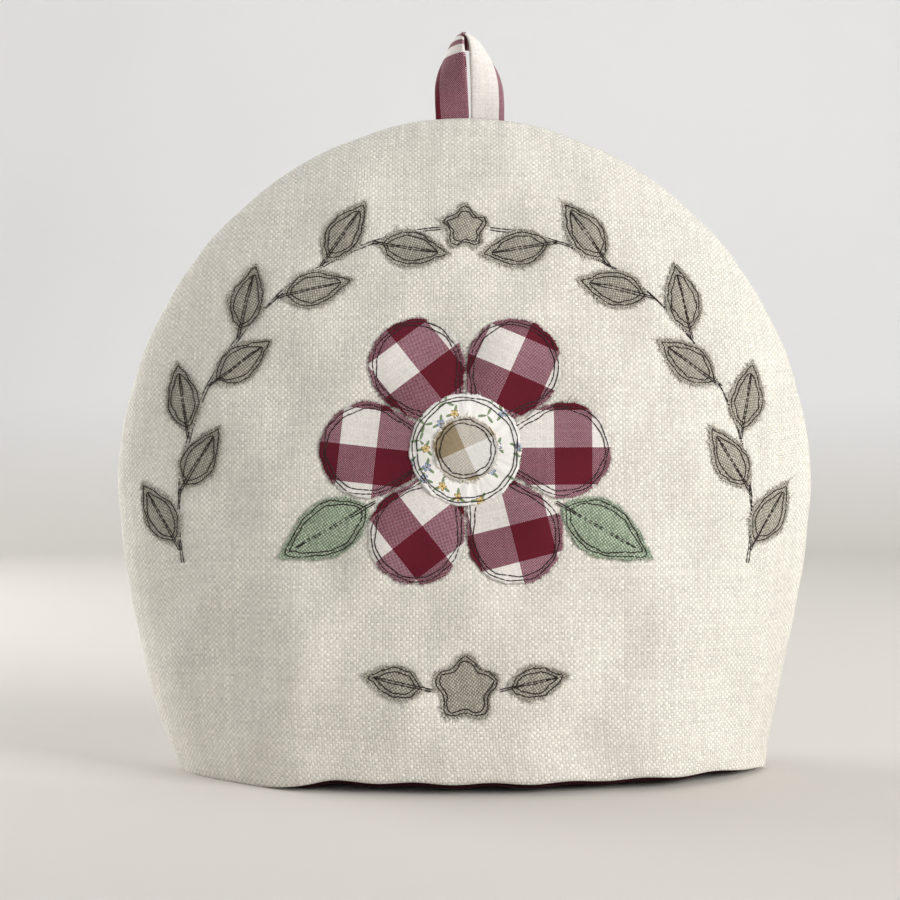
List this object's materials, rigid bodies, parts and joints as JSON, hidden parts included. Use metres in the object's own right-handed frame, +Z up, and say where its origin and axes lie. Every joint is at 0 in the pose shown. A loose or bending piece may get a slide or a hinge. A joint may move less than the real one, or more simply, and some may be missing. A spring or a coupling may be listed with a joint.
{
  "type": "tea cosy",
  "caption": "Padded dome-shaped cloth tea cosy with a flat hem, a hanging loop at the crown, and leaf and flower patches sewn on the front.",
  "frame": {"origin": "on the table, under the middle of the hem", "axes": "+Z up to the crown and the hanging loop, -Y out of the patched front, +X to the right as seen from the front"},
  "size_m": [0.332, 0.1309, 0.3511],
  "materials": {
    "cream_linen": "coarse plain-weave linen, matt",
    "burgundy_cotton": "plain cotton, matt",
    "burgundy_gingham": "woven gingham check, matt",
    "grey_hopsack": "coarse basket weave with raw edges, matt",
    "sage_cotton": "coarse cotton weave, matt",
    "floral_cotton": "white cotton with a small scattered floral print, matt",
    "taupe_check": "woven check, matt"
  },
  "bodies": {
    "root": {"front_panel": "cream_linen", "back_panel": "cream_linen", "lining_front": "burgundy_cotton", "lining_back": "burgundy_cotton", "hanging_loop": "burgundy_gingham", "petal_1": "burgundy_gingham", "petal_2": "burgundy_gingham", "petal_3": "burgundy_gingham", "petal_4": "burgundy_gingham", "petal_5": "burgundy_gingham", "petal_6": "burgundy_gingham", "flower_disc": "floral_cotton", "flower_centre": "taupe_check", "sage_leaf_left": "sage_cotton", "sage_leaf_right": "sage_cotton", "garland_leaf_left_1": "grey_hopsack", "garland_leaf_left_2": "grey_hopsack", "garland_leaf_left_3": "grey_hopsack", "garland_leaf_left_4": "grey_hopsack", "garland_leaf_left_5": "grey_hopsack", "garland_leaf_left_6": "grey_hopsack", "garland_leaf_left_7": "grey_hopsack", "garland_leaf_left_8": "grey_hopsack", "garland_leaf_right_1": "grey_hopsack", "garland_leaf_right_2": "grey_hopsack", "garland_leaf_right_3": "grey_hopsack", "garland_leaf_right_4": "grey_hopsack", "garland_leaf_right_5": "grey_hopsack", "garland_leaf_right_6": "grey_hopsack", "garland_leaf_right_7": "grey_hopsack", "garland_leaf_right_8": "grey_hopsack", "garland_flower": "grey_hopsack", "sprig_flower": "grey_hopsack", "sprig_leaf_left": "grey_hopsack", "sprig_leaf_right": "grey_hopsack"}
  },
  "joints": []
}
